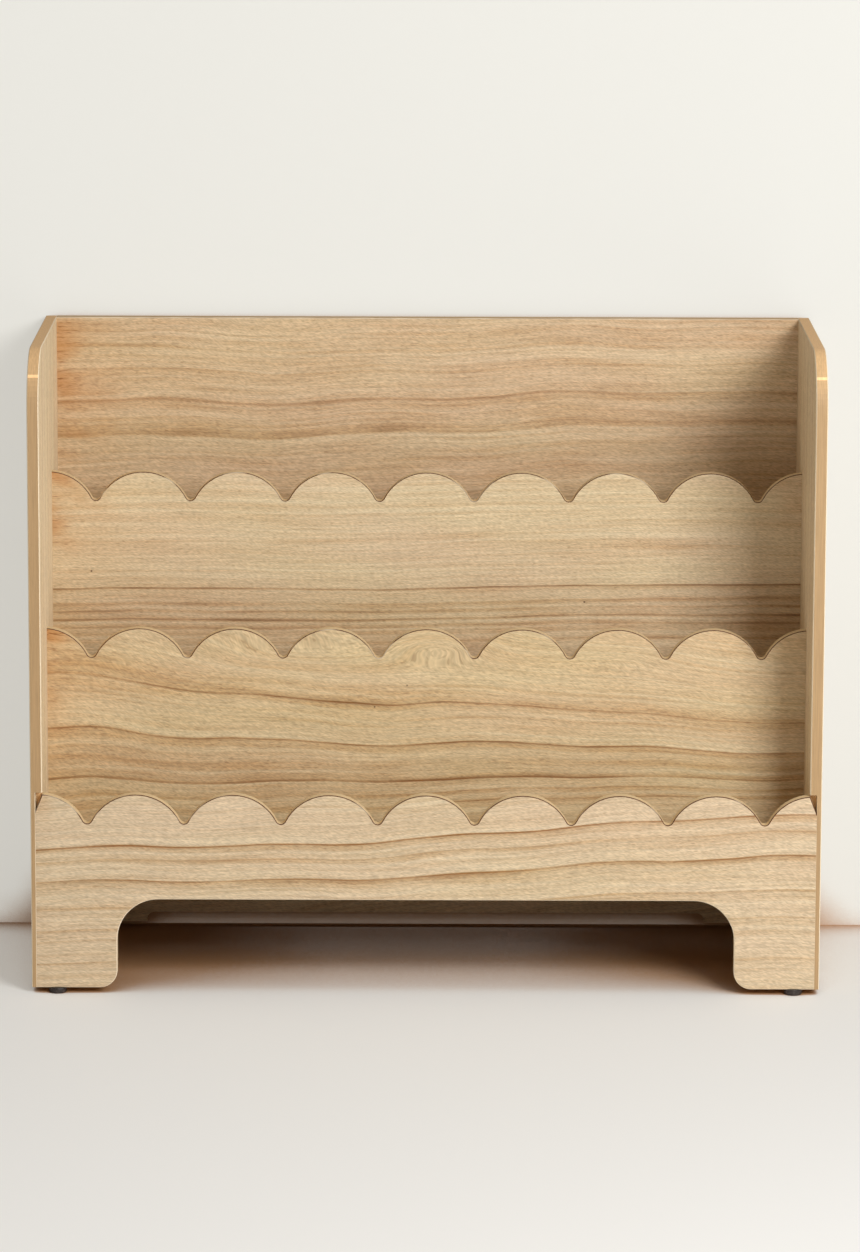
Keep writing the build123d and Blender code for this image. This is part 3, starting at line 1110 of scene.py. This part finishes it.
@dataclass(frozen=True)
class PaintedPlaster:
    """Matt off-white paint for the floor and the backdrop, seen from its front only, with painted shade
    beside the wood.

    Attributes:
        name: the material's name.
        colour: the paint's colour.
        painted_shade_colour: painted shade, the warm brown it takes in tight places beside the wood,
            standing in for the shade there and the wood's reflection.
        painted_shade_reach_mm: how far off the wood stands where the paint has its own colour and no
            painted shade.
        even: how much of the colour the camera sees whatever falls on the paint.
    """

    name: str
    colour: str
    painted_shade_colour: str
    painted_shade_reach_mm: float
    even: float

    def material(self) -> bpy.types.Material:
        """Build the finish. A camera behind the sheet looks through it."""
        material, tree = new_material(self.name)
        here = add_node(tree, "TexCoord", out="Object")
        mottle = add_node(tree, "TexNoise", {"Vector": here, "Scale": 9.0, "Detail": 4.0})
        bump = add_node(tree, "Bump", {"Strength": 0.05, "Distance": 1 * MM, "Height": mottle})
        # Painted shade: where ambient occlusion finds the wood near, the paint turns to the painted shade
        # colour, for the shade under and beside the shelf and the wood's reflection.
        sky = add_node(tree, "AmbientOcclusion", {"Distance": self.painted_shade_reach_mm * MM}, out="AO", samples=16)
        unshaded_share = add_node(tree, "MapRange", {"Value": sky, "From Min": 0.25, "From Max": 0.6}, **SMOOTH)
        tinted = add_node(tree, "Mix", {
            "Factor": unshaded_share, "A": linear(self.painted_shade_colour), "B": linear(self.colour),
        }, **COLOUR_MIX)
        paint = add_node(tree, "BsdfPrincipled", {
            "Base Color": tinted, "Roughness": 0.6, "Specular IOR Level": 0.12, "Normal": bump,
        })
        clear = add_node(tree, "BsdfTransparent")
        behind = add_node(tree, "NewGeometry", out="Backfacing")
        seen = add_node(tree, "LightPath", out="Is Camera Ray")
        evened = add_node(tree, "Math", {0: unshaded_share, 1: self.even}, operation="MULTIPLY")
        shown = add_node(tree, "Math", {0: seen, 1: evened}, operation="MULTIPLY")
        flat = add_node(tree, "Emission", {"Color": tinted, "Strength": 1.0})
        paint = add_node(tree, "MixShader", {0: shown, 1: paint, 2: flat})
        looked_through = add_node(tree, "Math", {0: behind, 1: seen}, operation="MULTIPLY")
        surface = add_node(tree, "MixShader", {0: looked_through, 1: paint, 2: clear})
        add_node(tree, "OutputMaterial", {"Surface": surface})
        return material


@dataclass
class Studio:
    """A plain pale floor and backdrop, a soft light from the upper right, and the camera.

    Attributes:
        sheet_size: width of the floor and of the backdrop.
        floor_colour: the floor's paint.
        floor_painted_shade_reach_mm: how far off the wood stands where that paint has its own colour and no
            painted shade.
        floor_even: how much of it the camera sees whatever falls on it.
        wall_y: how far back the backdrop stands.
        wall_colour: the backdrop's paint, with its own painted_shade_reach_mm and even.
        painted_shade_colour: the painted shade that both paints turn to beside the wood.
        skirting_height: height of the board behind the backdrop's foot.
        skirting_width: its width.
        skirting_gap: its distance from the backdrop.
        key_place: the lamp's place, with its aim, size and power in watts.
        ambient: strength of the light all round, with its colour.
        camera_place: the camera's place, with its turns in radians and its focal length.
    """

    sheet_size: float = 8.0
    floor_colour: str = "#f3f2ef"
    floor_painted_shade_reach_mm: float = 300.0
    floor_even: float = 0.3
    wall_y: float = 0.156
    wall_colour: str = "#ebeae4"
    wall_painted_shade_reach_mm: float = 80.0
    wall_even: float = 0.6
    painted_shade_colour: str = "#b88e67"
    skirting_height: float = 0.05
    skirting_width: float = 2.0
    skirting_gap: float = 0.0005
    key_place: Triple = (1.55, -2.55, 1.85)
    key_aim: Triple = (0.0, 0.0, 0.3)
    key_size: float = 1.2
    key_power: float = 83.0
    ambient: float = 0.35
    ambient_colour: str = "#fff7ea"
    camera_place: Triple = (-0.0033, -5.664, 1.403)
    camera_pitch: float = 0.1833
    camera_yaw: float = -0.0012
    camera_roll: float = 0.0034
    lens_mm: float = 160.55

    def build(self) -> None:
        """Build the floor, the backdrop, the light and the camera."""
        self._floor()
        self._wall()
        self._skirting()
        self._key_light()
        self._world()
        self._camera()

    def _sheet(self, name: str, y: float, height: float, paint: PaintedPlaster) -> bpy.types.Object:
        """Add a painted sheet.

        Args:
            name: its plain name.
            y: how far back it stands.
            height: the height of its middle: 0 for a sheet that lies on the ground.
            paint: its finish.

        Returns:
            The sheet.
        """
        tilt = math.pi / 2 if height else 0.0
        bpy.ops.object.select_all(action="DESELECT")
        bpy.ops.mesh.primitive_plane_add(
            size=self.sheet_size, location=(0, y, height), rotation=(tilt, 0, 0)
        )
        sheet = bpy.context.active_object
        sheet.name = name
        sheet.data.materials.append(paint.material())
        return sheet

    def _floor(self) -> None:
        """The floor, under the glides and up to the backdrop."""
        paint = PaintedPlaster(
            "floor_paint", self.floor_colour, self.painted_shade_colour, self.floor_painted_shade_reach_mm, self.floor_even
        )
        floor = self._sheet("studio_floor", 0, 0, paint)

    def _wall(self) -> None:
        """The backdrop, close behind the shelf. It takes shadows and casts no light or shade."""
        paint = PaintedPlaster(
            "wall_paint", self.wall_colour, self.painted_shade_colour, self.wall_painted_shade_reach_mm, self.wall_even
        )
        wall = self._sheet("studio_wall", self.wall_y, self.sheet_size / 2, paint)
        wall.visible_shadow = False
        wall.visible_diffuse = False
        wall.visible_glossy = False

    def _skirting(self) -> None:
        """A low board just behind the backdrop, which no camera sees.

        It keeps light that comes from behind out of the gap under the shelf.
        """
        paint = PaintedPlaster(
            "skirting_paint", self.painted_shade_colour, self.painted_shade_colour, self.wall_painted_shade_reach_mm, 0.0
        )
        middle = self.skirting_height / 2
        skirting = self._sheet("studio_skirting", self.wall_y + self.skirting_gap, middle, paint)
        width, height = self.skirting_width / self.sheet_size, self.skirting_height / self.sheet_size
        skirting.scale = (width, height, 1)
        bpy.ops.object.transform_apply(location=False, rotation=False, scale=True)
        skirting.visible_camera = False

    def _key_light(self) -> None:
        """A large square lamp, in front to the right and above."""
        bpy.ops.object.light_add(type="AREA", location=self.key_place)
        lamp = bpy.context.active_object
        lamp.name = "key_light"
        lamp.data.size = self.key_size
        lamp.data.energy = self.key_power
        aim = Vector(self.key_aim) - Vector(self.key_place)
        lamp.rotation_euler = aim.to_track_quat("-Z", "Y").to_euler()

    def _world(self) -> None:
        """An even soft light all round, which the camera sees as pale paint."""
        world = bpy.data.worlds.new("studio_world")
        world.use_nodes = True
        tree = world.node_tree
        tree.nodes.clear()
        seen = add_node(tree, "LightPath", out="Is Camera Ray")
        light = add_node(tree, "Background", {
            "Color": linear(self.ambient_colour), "Strength": self.ambient,
        })
        backdrop = add_node(tree, "Background", {"Color": linear(self.wall_colour), "Strength": 1.0})
        surface = add_node(tree, "MixShader", {0: seen, 1: light, 2: backdrop})
        add_node(tree, "OutputWorld", {"Surface": surface})
        bpy.context.scene.world = world

    def _camera(self) -> None:
        """The camera at the photograph's place and angle."""
        bpy.ops.object.camera_add(location=self.camera_place)
        camera = bpy.context.active_object
        camera.name = "studio_camera"
        turn = Matrix.Rotation(self.camera_yaw, 4, "Z")
        turn @= Matrix.Rotation(math.pi / 2 - self.camera_pitch, 4, "X")
        turn @= Matrix.Rotation(self.camera_roll, 4, "Z")
        camera.rotation_euler = turn.to_euler()
        camera.data.sensor_width = 36.0
        camera.data.lens = self.lens_mm
        camera.data.clip_end = 50.0
        bpy.context.scene.camera = camera
        bpy.context.scene.view_settings.view_transform = "Standard"


def main() -> None:
    """Dress the bookshelf and set up the studio."""
    logging.basicConfig(level=logging.INFO, format="%(name)s: %(message)s")
    Carcase().build()
    Fittings().build()
    Studio().build()


if __name__ == "__main__":
    main()
